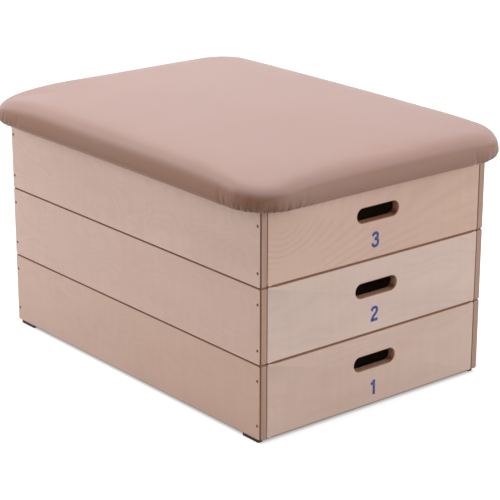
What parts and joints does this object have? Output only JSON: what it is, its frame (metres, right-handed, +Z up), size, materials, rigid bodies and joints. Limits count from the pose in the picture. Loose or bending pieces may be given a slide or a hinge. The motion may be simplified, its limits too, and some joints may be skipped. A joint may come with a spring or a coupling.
{
  "type": "vaulting box",
  "caption": "Low gymnastics vaulting box of stacked plywood sections with hand slots and numbers, the top section under a padded leatherette cushion.",
  "frame": {"origin": "on the floor, under the middle of the box: the centre of the overall box's underside", "axes": "+X along the length, towards the numbered end that shows in the picture; +Z up; -Y towards the long side that shows in the picture"},
  "size_m": [0.96, 0.69, 0.552],
  "materials": {
    "plywood": "satin",
    "block_wood": "matte",
    "board_wood": "matte",
    "number_paint": "satin",
    "nail_steel": "matte",
    "screw_steel": "satin",
    "foot_rubber": "matte",
    "foam": "matte",
    "leatherette": "satin"
  },
  "bodies": {
    "section_1": {"section_1_side_left": "plywood", "section_1_side_right": "plywood", "section_1_end_front": "plywood", "section_1_end_rear": "plywood", "section_1_nail_left_front_low": "nail_steel", "section_1_nail_left_front_high": "nail_steel", "section_1_nail_left_rear_low": "nail_steel", "section_1_nail_left_rear_high": "nail_steel", "section_1_nail_right_front_low": "nail_steel", "section_1_nail_right_front_high": "nail_steel", "section_1_nail_right_rear_low": "nail_steel", "section_1_nail_right_rear_high": "nail_steel", "section_1_number": "number_paint", "section_1_block_front_left": "block_wood", "section_1_block_front_right": "block_wood", "section_1_block_rear_left": "block_wood", "section_1_block_rear_right": "block_wood", "foot_front_left": "foot_rubber", "foot_front_right": "foot_rubber", "foot_rear_left": "foot_rubber", "foot_rear_right": "foot_rubber"},
    "section_2": {"section_2_side_left": "plywood", "section_2_side_right": "plywood", "section_2_end_front": "plywood", "section_2_end_rear": "plywood", "section_2_nail_left_front_low": "nail_steel", "section_2_nail_left_front_high": "nail_steel", "section_2_nail_left_rear_low": "nail_steel", "section_2_nail_left_rear_high": "nail_steel", "section_2_nail_right_front_low": "nail_steel", "section_2_nail_right_front_high": "nail_steel", "section_2_nail_right_rear_low": "nail_steel", "section_2_nail_right_rear_high": "nail_steel", "section_2_number": "number_paint", "section_2_block_front_left": "block_wood", "section_2_block_front_right": "block_wood", "section_2_block_rear_left": "block_wood", "section_2_block_rear_right": "block_wood"},
    "section_3": {"section_3_side_left": "plywood", "section_3_side_right": "plywood", "section_3_end_front": "plywood", "section_3_end_rear": "plywood", "section_3_nail_left_front_low": "nail_steel", "section_3_nail_left_front_high": "nail_steel", "section_3_nail_left_rear_low": "nail_steel", "section_3_nail_left_rear_high": "nail_steel", "section_3_nail_right_front_low": "nail_steel", "section_3_nail_right_front_high": "nail_steel", "section_3_nail_right_rear_low": "nail_steel", "section_3_nail_right_rear_high": "nail_steel", "section_3_number": "number_paint", "top_board": "board_wood", "board_screw_left_rear": "screw_steel", "board_screw_left_front": "screw_steel", "board_screw_front": "screw_steel", "board_screw_right_front": "screw_steel", "board_screw_right_rear": "screw_steel", "board_screw_rear": "screw_steel", "pad_foam": "foam", "pad_cover": "leatherette"}
  },
  "joints": [
    {"name": "section_2_lift", "type": "slide", "parent": "section_1", "child": "section_2", "axis": [0, 0, 1], "range_m": [0, 0.25]},
    {"name": "section_3_lift", "type": "slide", "parent": "section_2", "child": "section_3", "axis": [0, 0, 1], "range_m": [0, 0.25]}
  ]
}
